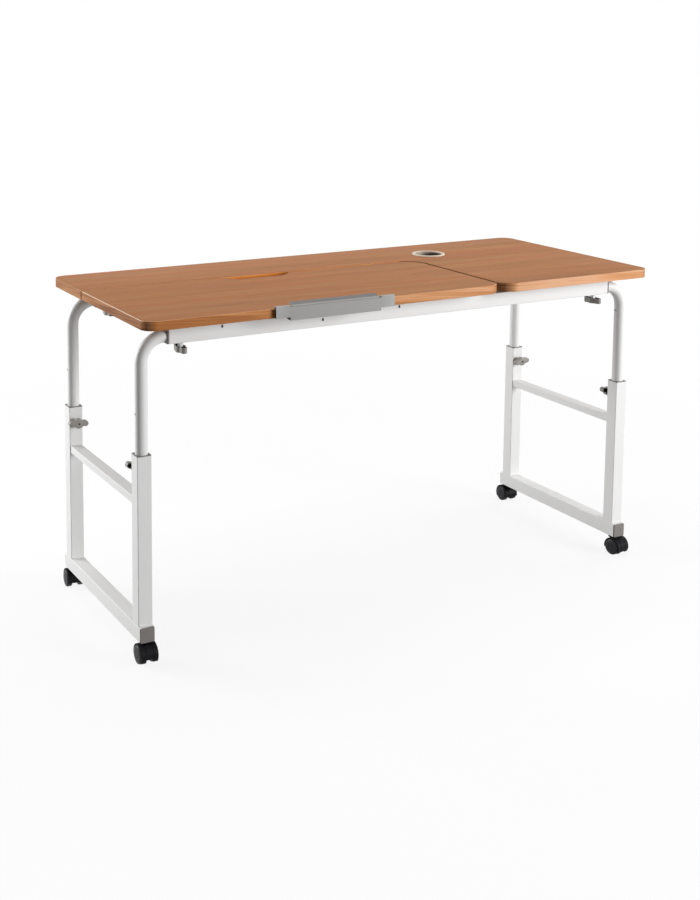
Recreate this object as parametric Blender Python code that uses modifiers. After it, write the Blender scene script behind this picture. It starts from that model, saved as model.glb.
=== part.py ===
"""Rolling desk with a two-board top, a tilting panel and telescopic legs on casters.

Metres, +Z up, +X to the right along the desk and +Y to its back. The origin lies on the floor
under the middle of the top. The desk stands at one setting of its height and width.
"""
import math

import bmesh
import bpy
from mathutils import Matrix, Vector

# Gaps between pieces that touch, and around pieces that turn or slide
SEAT_GAP = 0.0003
RUN_GAP = 0.0003

# The top: two boards in one plane
TOP_LENGTH = 1.200
TOP_DEPTH = 0.500
TOP_HEIGHT = 0.6637
BOARD_THICKNESS = 0.018
BOARD_EDGE_ROUND = 0.0012
REAR_CORNER_RADIUS = 0.028
FRONT_CORNER_RADIUS = 0.026

# The tilting panel at the front left, and the seam that parts it from the fixed board
PANEL_LENGTH = 0.797
PANEL_DEPTH = 0.323
PANEL_CORNER_RADIUS = 0.048
SECTION_CORNER_RADIUS = 0.036
SEAM_GAP = 0.006
REAR_SEAM_GAP = 0.0045
NOTCH_FROM_LEFT = 0.3943
NOTCH_WIDTH = 0.186
NOTCH_DEPTH = 0.026
NOTCH_END_RUN = 0.030

# The cable grommet in the fixed board
GROMMET_FROM_RIGHT = 0.326
GROMMET_FROM_REAR = 0.126
GROMMET_BORE_RADIUS = 0.0318
GROMMET_WALL = 0.0018
GROMMET_FLANGE_WIDTH = 0.0049
GROMMET_FLANGE_HEIGHT = 0.003
GROMMET_LIP_DROP = 0.0012
GROMMET_RIM_HEIGHT = 0.0006

# Round leg tubes, and the square tubes that they slide in
LEG_DIAMETER = 0.0245
LEG_WALL = 0.0012
BEND_RADIUS = 0.048
LEG_INSERT = 0.265
LEG_SLIDE_LENGTH = 0.300
INDEX_HOLE_RADIUS = 0.002
INNER_HOLE_DROP = 0.058
OUTER_HOLE_DROP = 0.142
TUBE_WALL = 0.001
TUBE_CORNER_RADIUS = 0.0022
BUSH_WALL = 0.00065
RAIL_BUSH_FLANGE = 0.003
UPRIGHT_BUSH_FLANGE = 0.0012
BUSH_SLEEVE = 0.018

# Rails under the top, set as far apart as the legs, and the bars across them
RAIL_LENGTH = 1.058
LEG_SPREAD = 0.364
CROSS_BAR_WIDTH = 0.025
CROSS_BAR_HEIGHT = 0.011
CROSS_BAR_WALL = 0.0012
CROSS_BAR_INSET = 0.130

# Base frames
UPRIGHT_LENGTH = 0.3278
BOTTOM_RAIL_OVERHANG = 0.006
MID_BAR_WIDTH = 0.025
MID_BAR_HEIGHT = 0.015
MID_BAR_WALL = 0.0012
MID_BAR_RISE = 0.231
CAP_FLANGE = 0.003
CAP_INSERT = 0.008

# Tilt hinges between the front rail and the panel
HINGE_WIDTH = 0.040
HINGE_FROM_LEFT = 0.202
HINGE_FROM_SEAM = 0.037
LEAF_THICKNESS = 0.0018
RAIL_LEAF_DEPTH = 0.022
PANEL_LEAF_DEPTH = 0.030
HINGE_PIN_RADIUS = 0.002
KNUCKLE_CLEARANCE = 0.0013

# Book stop on the panel's front edge
STOP_FROM_LEFT = 0.262
STOP_LENGTH = 0.2643
STOP_DEPTH = 0.0077
STOP_SHEET = 0.002
STOP_RISE = 0.0023
STOP_FOOT_RISE = 0.0006
TAB_LENGTH = 0.0312
TAB_RISE = 0.0048
APRON_DROP = 0.0057
FLAP_DEPTH = 0.0127
FLAP_THICKNESS = 0.002
FLAP_LEAN = 25.0
FLAP_PIN_RISE = 0.0031
FLAP_END_GAP = 0.0045
FLAP_KNUCKLE_RADIUS = 0.0021
FLAP_PIN_RADIUS = 0.0012
FLAP_PIN_LENGTH = 0.005

# Clamping knobs with their screws
KNOB_LENGTH = 0.042
KNOB_LOBE_RADIUS = 0.006
KNOB_HUB_RADIUS = 0.0098
KNOB_THICKNESS = 0.0115
KNOB_EDGE_ROUND = 0.0015
KNOB_STANDOFF = 0.0085
SCREW_RADIUS = 0.003
HEIGHT_KNOB_DROP = 0.0324
WIDTH_KNOB_INSET = 0.029
HEIGHT_KNOB_TURN = {"front": 20.0, "rear": 10.0}
WIDTH_KNOB_TURN = {"left": 88.0, "right": 78.0}

# Twin-wheel casters
WHEEL_RADIUS = 0.018
WHEEL_WIDTH = 0.0123
WHEEL_ROUND = 0.0018
WHEEL_SIDES = 24
CASTER_WEB = 0.0138
CASTER_TRAIL = 0.012
CASTER_FROM_RAIL_END = 0.0175
AXLE_RADIUS = 0.003
AXLE_REACH = 0.009
FENDER_GAP = 0.001
FENDER_WALL = 0.0018
FENDER_START = -35.0
FENDER_SWEEP = 228.0
WEB_FLOOR_GAP = 0.012
BOSS_RADIUS = 0.009
BOSS_RISE = 0.0026
BOSS_DEPTH = 0.0048
STEM_RADIUS = 0.004
STEM_LENGTH = 0.014
CASTER_TURN = {
    ("front", "left"): 0.0,
    ("front", "right"): 8.0,
    ("rear", "left"): 176.0,
    ("rear", "right"): 178.0,
}

# How finely curved forms are divided
WELD_DISTANCE = 0.00001
SHARP_ANGLE = math.radians(40)
SOFTEN_ANGLE = math.radians(50)
CORNER_STEPS = 8
TUBE_CORNER_STEPS = 3
LEG_ROUND_STEPS = 6
KNOB_END_STEPS = 6
KNOB_WAIST_STEPS = 8
FENDER_STEPS = 24
PIN_SIDES = 16
INDEX_HOLE_SIDES = 10
STEM_SIDES = 12
BOSS_SIDES = 20
BUSH_SIDES = 24
WEB_SIDES = 28
GROMMET_SIDES = 32

# Sizes that follow from the ones above
TUBE = LEG_DIAMETER + 2 * (RUN_GAP + BUSH_WALL + SEAT_GAP + TUBE_WALL)
TUBE_BORE = TUBE - 2 * TUBE_WALL
AXLE_HEIGHT = WHEEL_RADIUS * math.cos(math.pi / WHEEL_SIDES)
WHEEL_OFFSET = CASTER_WEB / 2 + RUN_GAP
FENDER_RADIUS = WHEEL_RADIUS + FENDER_GAP + FENDER_WALL
CASTER_HEIGHT = AXLE_HEIGHT + FENDER_RADIUS + BOSS_RISE
BOTTOM_RAIL_Z = CASTER_HEIGHT + SEAT_GAP + TUBE / 2
UPRIGHT_BOTTOM = BOTTOM_RAIL_Z + TUBE / 2 + SEAT_GAP
UPRIGHT_TOP = UPRIGHT_BOTTOM + UPRIGHT_LENGTH
BUSH_TOP = UPRIGHT_TOP + SEAT_GAP + UPRIGHT_BUSH_FLANGE
BOARD_BOTTOM = TOP_HEIGHT - BOARD_THICKNESS
RAIL_TOP = BOARD_BOTTOM - CROSS_BAR_HEIGHT - 2 * SEAT_GAP
RAIL_Z = RAIL_TOP - TUBE / 2
LEG_Y = LEG_SPREAD / 2
RAIL_END = RAIL_LENGTH / 2
LEG_X = RAIL_END + SEAT_GAP + RAIL_BUSH_FLANGE + BEND_RADIUS
LEG_BOTTOM = BUSH_TOP - LEG_INSERT
BOTTOM_RAIL_END = LEG_Y + TUBE / 2 + BOTTOM_RAIL_OVERHANG
CASTER_Y = BOTTOM_RAIL_END - CASTER_FROM_RAIL_END
MID_BAR_Z = BOTTOM_RAIL_Z + TUBE / 2 + MID_BAR_RISE + MID_BAR_HEIGHT / 2
HEIGHT_KNOB_Z = BUSH_TOP - HEIGHT_KNOB_DROP
WIDTH_KNOB_X = RAIL_END - WIDTH_KNOB_INSET
LEFT = -TOP_LENGTH / 2
RIGHT = TOP_LENGTH / 2
FRONT = -TOP_DEPTH / 2
REAR = TOP_DEPTH / 2
PANEL_RIGHT = LEFT + PANEL_LENGTH
PANEL_REAR = FRONT + PANEL_DEPTH
SECTION_LEFT = PANEL_RIGHT + SEAM_GAP
STRIP_FRONT = PANEL_REAR + REAR_SEAM_GAP
GROMMET_X = RIGHT - GROMMET_FROM_RIGHT
GROMMET_Y = REAR - GROMMET_FROM_REAR
GROMMET_HOLE_RADIUS = GROMMET_BORE_RADIUS + GROMMET_WALL + SEAT_GAP
KNUCKLE_RADIUS = (BOARD_BOTTOM - RAIL_TOP) / 2 - KNUCKLE_CLEARANCE
HINGE_Y = -LEG_Y - TUBE / 2 + KNUCKLE_RADIUS
HINGE_Z = (BOARD_BOTTOM + RAIL_TOP) / 2
STOP_LEFT = LEFT + STOP_FROM_LEFT
STOP_X = STOP_LEFT + STOP_LENGTH / 2
STOP_BACK = FRONT - SEAT_GAP
STOP_FACE = STOP_BACK - STOP_DEPTH
APRON_LENGTH = STOP_LENGTH - 2 * TAB_LENGTH
FLAP_LENGTH = APRON_LENGTH - 2 * FLAP_END_GAP
FLAP_Y = STOP_FACE + STOP_SHEET + RUN_GAP + FLAP_KNUCKLE_RADIUS
FLAP_Z = TOP_HEIGHT + FLAP_PIN_RISE
SCREW_LENGTH = TUBE / 2 - LEG_DIAMETER / 2 - RUN_GAP + KNOB_STANDOFF

ROWS = (("front", -1), ("rear", 1))
SIDES = (("left", -1), ("right", 1))
QUARTER = math.pi / 2

FINISHES = {
    "white_paint": ((0.80, 0.80, 0.79), 0.45, 0.0),
    "white_plastic": ((0.78, 0.78, 0.77), 0.50, 0.0),
    "beech_laminate": ((0.50, 0.245, 0.125), 0.50, 0.0),
    "grey_stop": ((0.32, 0.315, 0.30), 0.50, 0.0),
    "dark_grey_plastic": ((0.16, 0.145, 0.135), 0.55, 0.0),
    "knob_grey": ((0.31, 0.30, 0.28), 0.50, 0.0),
    "black_plastic": ((0.018, 0.018, 0.020), 0.45, 0.0),
    "ivory_plastic": ((0.62, 0.56, 0.46), 0.45, 0.0),
    "zinc_steel": ((0.55, 0.55, 0.55), 0.35, 0.9),
}
CAP_FINISH = {"front": "dark_grey_plastic", "rear": "white_plastic"}

for leftover in list(bpy.data.objects):
    bpy.data.objects.remove(leftover, do_unlink=True)
desk = bpy.data.collections.new("rolling_desk")
cutters = bpy.data.collections.new("cutters")
bpy.context.scene.collection.children.link(desk)
bpy.context.scene.collection.children.link(cutters)


# Building blocks

def empty(name, location, parent=None, turn=0.0):
    """An empty at a place given in its parent's frame, turned about Z."""
    holder = bpy.data.objects.new(name, None)
    holder.location = location
    holder.rotation_euler = (0, 0, turn)
    holder.parent = parent
    desk.objects.link(holder)
    return holder


def finish(obj, kind):
    """Give an object its own Principled material."""
    colour, roughness, metallic = FINISHES[kind]
    material = bpy.data.materials.new(obj.name + "_" + kind)
    material.use_nodes = True
    shader = material.node_tree.nodes["Principled BSDF"]
    shader.inputs["Base Color"].default_value = (*colour, 1)
    shader.inputs["Roughness"].default_value = roughness
    shader.inputs["Metallic"].default_value = metallic
    obj.data.materials.clear()
    obj.data.materials.append(material)


def mesh_object(name, mesh, parent=None, collection=desk):
    """An object for a mesh or a curve, placed in its parent's frame."""
    obj = bpy.data.objects.new(name, mesh)
    obj.parent = parent
    collection.objects.link(obj)
    return obj


def box_mesh(name, low, high):
    """A block between two corners."""
    low, high = Vector(low), Vector(high)
    bm = bmesh.new()
    scale = Matrix.Diagonal((*(high - low), 1))
    bmesh.ops.create_cube(bm, size=1, matrix=Matrix.Translation((low + high) / 2) @ scale)
    mesh = bpy.data.meshes.new(name)
    bm.to_mesh(mesh)
    bm.free()
    return mesh


def rod_mesh(name, radius, start, end, sides=PIN_SIDES):
    """A round bar from one point to another."""
    start, end = Vector(start), Vector(end)
    along = end - start
    turn = Vector((0, 0, 1)).rotation_difference(along).to_matrix().to_4x4()
    bm = bmesh.new()
    bmesh.ops.create_cone(bm, cap_ends=True, segments=sides, radius1=radius, radius2=radius,
                          depth=along.length, matrix=Matrix.Translation((start + end) / 2) @ turn)
    mesh = bpy.data.meshes.new(name)
    bm.to_mesh(mesh)
    bm.free()
    mesh.shade_smooth()
    mesh.set_sharp_from_angle(angle=SHARP_ANGLE)
    return mesh


def combine(obj, operation, mesh):
    """Join a helper mesh to an object, or cut it out; the mesh is in the object's own frame."""
    helper = mesh_object(mesh.name, mesh, obj, cutters)
    helper.hide_render = True
    helper.display_type = "WIRE"
    modifier = obj.modifiers.new(mesh.name, "BOOLEAN")
    modifier.operation = operation
    modifier.solver = "EXACT"
    modifier.object = helper


def baked(model):
    """The welded mesh of a curve or a modified object, which is then removed."""
    bpy.context.view_layer.update()
    graph = bpy.context.evaluated_depsgraph_get()
    mesh = bpy.data.meshes.new_from_object(model.evaluated_get(graph))
    mesh.name = model.name
    bpy.data.objects.remove(model, do_unlink=True)
    bm = bmesh.new()
    bm.from_mesh(mesh)
    bmesh.ops.remove_doubles(bm, verts=bm.verts, dist=WELD_DISTANCE)
    bm.to_mesh(mesh)
    bm.free()
    mesh.shade_smooth()
    mesh.set_sharp_from_angle(angle=SHARP_ANGLE)
    return mesh


def arc(centre, radius, start, end, steps=CORNER_STEPS):
    """Points of an arc about a centre, angles in degrees."""
    points = []
    for step in range(steps + 1):
        angle = math.radians(start + (end - start) * step / steps)
        points.append((centre[0] + radius * math.cos(angle), centre[1] + radius * math.sin(angle)))
    return points


def rounded_rectangle(width, height, radius):
    """Outline of a tube or plug, about its middle."""
    x, y = width / 2 - radius, height / 2 - radius
    outline = []
    for centre_x, centre_y, start in ((x, y, 0), (-x, y, 90), (-x, -y, 180), (x, -y, 270)):
        outline += arc((centre_x, centre_y), radius, start, start + 90, TUBE_CORNER_STEPS)
    return outline


def prism_mesh(name, outlines, low, high):
    """A straight block from closed outlines, between two heights; an inner outline is a hole."""
    curve = bpy.data.curves.new(name, "CURVE")
    curve.dimensions = "2D"
    curve.fill_mode = "BOTH"
    curve.extrude = (high - low) / 2
    for outline in outlines:
        spline = curve.splines.new("POLY")
        spline.points.add(len(outline) - 1)
        for point, (x, y) in zip(spline.points, outline):
            point.co = (x, y, 0, 1)
        spline.use_cyclic_u = True
    mesh = baked(mesh_object(name, curve))
    mesh.transform(Matrix.Translation((0, 0, (low + high) / 2)))
    return mesh


def hollow_bar(name, width, height, wall, length, parent, location, rotation):
    """A rectangular tube with rounded edges; its length runs along its own Z."""
    outer = rounded_rectangle(width, height, TUBE_CORNER_RADIUS)
    inner = rounded_rectangle(width - 2 * wall, height - 2 * wall, TUBE_CORNER_RADIUS - wall)
    bar = mesh_object(name, prism_mesh(name, (outer, inner), -length / 2, length / 2), parent)
    bar.location = location
    bar.rotation_euler = rotation
    finish(bar, "white_paint")
    return bar


def plug(name, parent, location, rotation, flange, insert, slot):
    """Plastic piece in the mouth of a square tube: a flange on its end and an insert inside it."""
    outside = rounded_rectangle(TUBE, TUBE, TUBE_CORNER_RADIUS)
    width = TUBE_BORE - 2 * SEAT_GAP
    inside = rounded_rectangle(width, width, TUBE_CORNER_RADIUS - TUBE_WALL)
    obj = mesh_object(name, prism_mesh(name, (outside,), SEAT_GAP, SEAT_GAP + flange), parent)
    obj.location = location
    obj.rotation_euler = rotation
    combine(obj, "UNION", prism_mesh(name + "_insert", (inside,), -insert, SEAT_GAP + flange / 2))
    finish(obj, slot)
    return obj


def soften(obj, width):
    """Take the sharp edges off an object."""
    bevel = obj.modifiers.new("edge_round", "BEVEL")
    bevel.width = width
    bevel.segments = 1
    bevel.limit_method = "ANGLE"
    bevel.angle_limit = SOFTEN_ANGLE


def turned(name, profile, steps, parent=None, closed=False):
    """A body of revolution about its own Z from (radius, height) points, run top to bottom."""
    mesh = bpy.data.meshes.new(name)
    edges = [(i, i + 1) for i in range(len(profile) - 1)]
    if closed:
        edges.append((len(profile) - 1, 0))
    mesh.from_pydata([(radius, 0, height) for radius, height in profile], edges, [])
    obj = mesh_object(name, mesh, parent)
    screw = obj.modifiers.new("turn", "SCREW")
    screw.axis = "Z"
    screw.steps = steps
    screw.render_steps = steps
    screw.use_merge_vertices = True
    screw.merge_threshold = WELD_DISTANCE
    screw.use_smooth_shade = True
    return obj


def bush(name, parent, location, rotation, flange):
    """Liner at the mouth of a square tube, with a round bore for the leg."""
    liner = plug(name, parent, location, rotation, flange, BUSH_SLEEVE, "dark_grey_plastic")
    past = 2 * BUSH_SLEEVE
    combine(liner, "DIFFERENCE", rod_mesh(name + "_bore", LEG_DIAMETER / 2 + RUN_GAP,
                                          (0, 0, -past), (0, 0, past), BUSH_SIDES))


def screw_hole(name):
    """A cutter through one wall of a square tube, along the tube's own -Y side."""
    return rod_mesh(name, SCREW_RADIUS + RUN_GAP, (0, -TUBE, 0), (0, -TUBE_BORE / 4, 0))


# Top boards, grommet and the frame under them

def fixed_board():
    """The L-shaped board: a strip along the back and the section at the right."""
    inner = PANEL_CORNER_RADIUS + SEAM_GAP
    section = SECTION_CORNER_RADIUS
    front = FRONT_CORNER_RADIUS
    rear = REAR_CORNER_RADIUS
    outline = [(LEFT, STRIP_FRONT)]
    outline += arc((SECTION_LEFT - inner, STRIP_FRONT - inner), inner, 90, 0)
    outline += arc((SECTION_LEFT + section, FRONT + section), section, 180, 270)
    outline += arc((RIGHT - front, FRONT + front), front, 270, 360)
    outline += arc((RIGHT - rear, REAR - rear), rear, 0, 90)
    outline += arc((LEFT + rear, REAR - rear), rear, 90, 180)
    board = mesh_object("fixed_board", prism_mesh("fixed_board", (outline,), 0, BOARD_THICKNESS))
    board.location = (0, 0, BOARD_BOTTOM)
    soften(board, BOARD_EDGE_ROUND)
    combine(board, "DIFFERENCE", rod_mesh("grommet_hole", GROMMET_HOLE_RADIUS,
                                          (GROMMET_X, GROMMET_Y, -BOARD_THICKNESS),
                                          (GROMMET_X, GROMMET_Y, 2 * BOARD_THICKNESS), GROMMET_SIDES))
    finish(board, "beech_laminate")


def grommet():
    """A ring with a flat flange on the board and a sleeve through it."""
    outer = GROMMET_BORE_RADIUS + GROMMET_WALL
    flange = outer + GROMMET_FLANGE_WIDTH
    profile = (
        (GROMMET_BORE_RADIUS, GROMMET_FLANGE_HEIGHT - GROMMET_LIP_DROP),
        (outer, GROMMET_FLANGE_HEIGHT),
        (flange - GROMMET_FLANGE_HEIGHT, GROMMET_FLANGE_HEIGHT),
        (flange, SEAT_GAP + GROMMET_RIM_HEIGHT),
        (flange, SEAT_GAP),
        (outer, SEAT_GAP),
        (outer, -BOARD_THICKNESS),
        (GROMMET_BORE_RADIUS, -BOARD_THICKNESS),
    )
    ring = turned("grommet_ring", profile, GROMMET_SIDES, closed=True)
    ring.location = (GROMMET_X, GROMMET_Y, TOP_HEIGHT)
    finish(ring, "ivory_plastic")


def rails():
    """Two square tubes under the top, each with a lined mouth at both ends and two clamp screw holes."""
    for row, back in ROWS:
        rail = hollow_bar(row + "_rail", TUBE, TUBE, TUBE_WALL, RAIL_LENGTH, None,
                          (0, back * LEG_Y, RAIL_Z), (QUARTER, 0, QUARTER))
        for side, right in SIDES:
            hole = screw_hole("clamp_hole_" + row + "_" + side)
            hole.transform(Matrix.Translation((0, 0, right * WIDTH_KNOB_X)))
            combine(rail, "DIFFERENCE", hole)
            bush("rail_bush_" + row + "_" + side, None, (right * RAIL_END, back * LEG_Y, RAIL_Z),
                 (0, right * QUARTER, 0), RAIL_BUSH_FLANGE)


def cross_bars():
    """Flat tubes across both rails that carry the boards; they end at the line that the panel tilts on."""
    length = -2 * HINGE_Y
    places = {
        "left": LEFT + CROSS_BAR_INSET,
        "middle": (PANEL_RIGHT + SECTION_LEFT) / 2,
        "right": RIGHT - CROSS_BAR_INSET,
    }
    for place, x in places.items():
        middle = RAIL_TOP + SEAT_GAP + CROSS_BAR_HEIGHT / 2
        hollow_bar("cross_bar_" + place, CROSS_BAR_WIDTH, CROSS_BAR_HEIGHT, CROSS_BAR_WALL, length, None,
                   (x, 0, middle), (-QUARTER, 0, 0))


# Tilting panel with its hinges and book stop

def hinge_leaf(name, parent, place, spans, plate_y, plate_z, tongue_y):
    """A plate with a tongue and a knuckle for each span of the barrel, all about the hinge pin."""
    half = HINGE_WIDTH / 2
    plate = box_mesh(name, (-half, plate_y[0], plate_z[0]), (half, plate_y[1], plate_z[1]))
    leaf = mesh_object(name, plate, parent)
    leaf.location = place
    for index, (start, end) in enumerate(spans):
        combine(leaf, "UNION", box_mesh(f"{name}_tongue_{index}", (start, tongue_y[0], plate_z[0]),
                                        (end, tongue_y[1], plate_z[1])))
        combine(leaf, "UNION", rod_mesh(f"{name}_knuckle_{index}", KNUCKLE_RADIUS,
                                        (start, 0, 0), (end, 0, 0)))
    finish(leaf, "zinc_steel")
    return leaf


def hinges(tilt):
    """Two butt hinges: one leaf on the front rail with the pin, the other under the panel."""
    half = HINGE_WIDTH / 2
    third = HINGE_WIDTH / 6
    clear = KNUCKLE_RADIUS + 2 * RUN_GAP
    reach = clear + LEAF_THICKNESS
    rail_low = RAIL_TOP + SEAT_GAP - HINGE_Z
    panel_high = BOARD_BOTTOM - SEAT_GAP - HINGE_Z
    outer = ((-half, -third - RUN_GAP), (third + RUN_GAP, half))
    for side, x in (("left", LEFT + HINGE_FROM_LEFT), ("right", PANEL_RIGHT - HINGE_FROM_SEAM)):
        leaf = hinge_leaf("hinge_rail_leaf_" + side, None, (x, HINGE_Y, HINGE_Z), outer,
                          (clear, RAIL_LEAF_DEPTH), (rail_low, rail_low + LEAF_THICKNESS), (0, reach))
        combine(leaf, "UNION", rod_mesh("hinge_pin_" + side, HINGE_PIN_RADIUS,
                                        (-half + RUN_GAP, 0, 0), (half - RUN_GAP, 0, 0)))
        leaf = hinge_leaf("hinge_panel_leaf_" + side, tilt, (x, 0, 0), ((-third, third),),
                          (-PANEL_LEAF_DEPTH, -clear), (panel_high - LEAF_THICKNESS, panel_high),
                          (-reach, 0))
        combine(leaf, "DIFFERENCE", rod_mesh("hinge_bore_" + side, HINGE_PIN_RADIUS + RUN_GAP,
                                             (-half, 0, 0), (half, 0, 0)))


def panel_board(tilt):
    """The panel, with a finger notch in its rear edge that runs out in two easy curves."""
    notch_x = LEFT + NOTCH_FROM_LEFT
    notch_floor = PANEL_REAR - NOTCH_DEPTH
    slope = 2 * math.atan(NOTCH_DEPTH / NOTCH_END_RUN)
    bend = NOTCH_END_RUN / (2 * math.sin(slope))
    sweep = math.degrees(slope)
    notch_left, notch_right = notch_x - NOTCH_WIDTH / 2, notch_x + NOTCH_WIDTH / 2
    front = FRONT_CORNER_RADIUS
    section = SECTION_CORNER_RADIUS
    rear = PANEL_CORNER_RADIUS
    outline = [(LEFT, PANEL_REAR)]
    outline += arc((LEFT + front, FRONT + front), front, 180, 270)
    outline += arc((PANEL_RIGHT - section, FRONT + section), section, 270, 360)
    outline += arc((PANEL_RIGHT - rear, PANEL_REAR - rear), rear, 0, 90)
    outline += arc((notch_right, PANEL_REAR - bend), bend, 90, 90 + sweep)
    outline += arc((notch_right - NOTCH_END_RUN, notch_floor + bend), bend, sweep - 90, -90)[1:]
    outline += arc((notch_left + NOTCH_END_RUN, notch_floor + bend), bend, -90, -90 - sweep)
    outline += arc((notch_left, PANEL_REAR - bend), bend, 90 - sweep, 90)[1:]
    block = prism_mesh("tilt_panel_board", (outline,), 0, BOARD_THICKNESS)
    board = mesh_object("tilt_panel_board", block, tilt)
    board.location = (0, -HINGE_Y, BOARD_BOTTOM - HINGE_Z)
    soften(board, BOARD_EDGE_ROUND)
    finish(board, "beech_laminate")


def book_stop(tilt):
    """A channel along the panel's front edge, with a leaning flap hinged between its end tabs."""
    half, apron = STOP_LENGTH / 2, APRON_LENGTH / 2
    front, back = STOP_FACE - FLAP_Y, STOP_BACK - FLAP_Y
    lip_top = -FLAP_KNUCKLE_RADIUS - 2 * RUN_GAP
    bottom = BOARD_BOTTOM + STOP_FOOT_RISE - FLAP_Z
    apron_bottom = BOARD_BOTTOM - APRON_DROP - FLAP_Z
    face_top = TOP_HEIGHT + STOP_RISE - FLAP_Z
    tab_top = TOP_HEIGHT + TAB_RISE - FLAP_Z
    inner = front + STOP_SHEET
    rim = inner - STOP_SHEET / 2
    origin = (STOP_X, FLAP_Y - HINGE_Y, FLAP_Z - HINGE_Z)
    sheet = box_mesh("stop_bracket", (-half, front, bottom), (half, inner, face_top))
    bracket = mesh_object("stop_bracket", sheet, tilt)
    bracket.location = origin
    for lip, low in (("lower", bottom), ("upper", lip_top - STOP_SHEET)):
        combine(bracket, "UNION", box_mesh(f"stop_{lip}_lip", (-half, rim, low),
                                           (half, back, low + STOP_SHEET)))
    combine(bracket, "UNION", box_mesh("stop_apron", (-apron, front, apron_bottom),
                                       (apron, inner, bottom + STOP_SHEET / 2)))
    for side, right in SIDES:
        ends = sorted((right * half, right * apron))
        combine(bracket, "UNION", box_mesh("stop_tab_" + side, (ends[0], front, lip_top - STOP_SHEET / 2),
                                           (ends[1], back, tab_top)))
    pin = apron + FLAP_PIN_LENGTH
    blind = pin + RUN_GAP
    combine(bracket, "DIFFERENCE", rod_mesh("stop_pin_bore", FLAP_PIN_RADIUS + RUN_GAP,
                                            (-blind, 0, 0), (blind, 0, 0)))
    finish(bracket, "grey_stop")

    pivot = empty("book_stop", origin, tilt)
    reach = FLAP_LENGTH / 2
    plate = box_mesh("book_stop_flap", (-reach, 0, -FLAP_THICKNESS / 2),
                     (reach, FLAP_DEPTH, FLAP_THICKNESS / 2))
    plate.transform(Matrix.Rotation(math.radians(FLAP_LEAN), 4, "X"))
    flap = mesh_object("book_stop_flap", plate, pivot)
    combine(flap, "UNION", rod_mesh("flap_knuckle", FLAP_KNUCKLE_RADIUS, (-reach, 0, 0), (reach, 0, 0)))
    combine(flap, "UNION", rod_mesh("flap_pin", FLAP_PIN_RADIUS, (-pin, 0, 0), (pin, 0, 0)))
    finish(flap, "grey_stop")


# Legs, base frames and knobs

def leg(name, parent, right, y):
    """One bent tube: level where it slides in its rail, upright where it slides in its base."""
    corner = LEG_X - BEND_RADIUS
    inner_end = corner - LEG_SLIDE_LENGTH
    path = [(inner_end, RAIL_Z)]
    path += arc((corner, RAIL_Z - BEND_RADIUS), BEND_RADIUS, 90, 0)
    path += [(LEG_X, LEG_BOTTOM)]
    curve = bpy.data.curves.new(name, "CURVE")
    curve.dimensions = "3D"
    curve.bevel_depth = LEG_DIAMETER / 2
    curve.bevel_resolution = LEG_ROUND_STEPS
    spline = curve.splines.new("POLY")
    spline.points.add(len(path) - 1)
    for point, (x, z) in zip(spline.points, path):
        point.co = (right * (x - LEG_X), 0, z - RAIL_Z, 1)
    tube = mesh_object(name, baked(mesh_object(name, curve)), parent)
    tube.location = (0, y, 0)
    wall = tube.modifiers.new("wall", "SOLIDIFY")
    wall.thickness = LEG_WALL
    wall.offset = -1
    for drop, outward in ((INNER_HOLE_DROP, -right), (OUTER_HOLE_DROP, right)):
        combine(tube, "DIFFERENCE", rod_mesh(f"{name}_hole_{drop}", INDEX_HOLE_RADIUS, (0, 0, -drop),
                                             (outward * LEG_DIAMETER, 0, -drop), INDEX_HOLE_SIDES))
    finish(tube, "white_paint")


def knob(name, parent, location, rotation, turn):
    """A two-lobed knob moulded on its screw; the screw's tip is at the origin, the knob along +Z."""
    end = KNOB_LENGTH / 2 - KNOB_LOBE_RADIUS
    waist = []
    for step in range(1, KNOB_WAIST_STEPS):
        share = 1 - 2 * step / KNOB_WAIST_STEPS
        swell = (KNOB_HUB_RADIUS - KNOB_LOBE_RADIUS) * math.cos(share * QUARTER) ** 2
        waist.append((share * end, KNOB_LOBE_RADIUS + swell))
    outline = arc((end, 0), KNOB_LOBE_RADIUS, -90, 90, KNOB_END_STEPS) + waist
    outline += [(-x, -y) for x, y in outline]
    pivot = empty(name + "_pivot", location, parent)
    pivot.rotation_euler = rotation
    block = prism_mesh(name, (outline,), SCREW_LENGTH, SCREW_LENGTH + KNOB_THICKNESS)
    grip = mesh_object(name, block, pivot)
    grip.rotation_euler = (0, 0, math.radians(turn))
    soften(grip, KNOB_EDGE_ROUND)
    combine(grip, "UNION", rod_mesh(name + "_screw", SCREW_RADIUS, (0, 0, 0),
                                    (0, 0, SCREW_LENGTH + KNOB_THICKNESS / 2)))
    finish(grip, "knob_grey")


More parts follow.
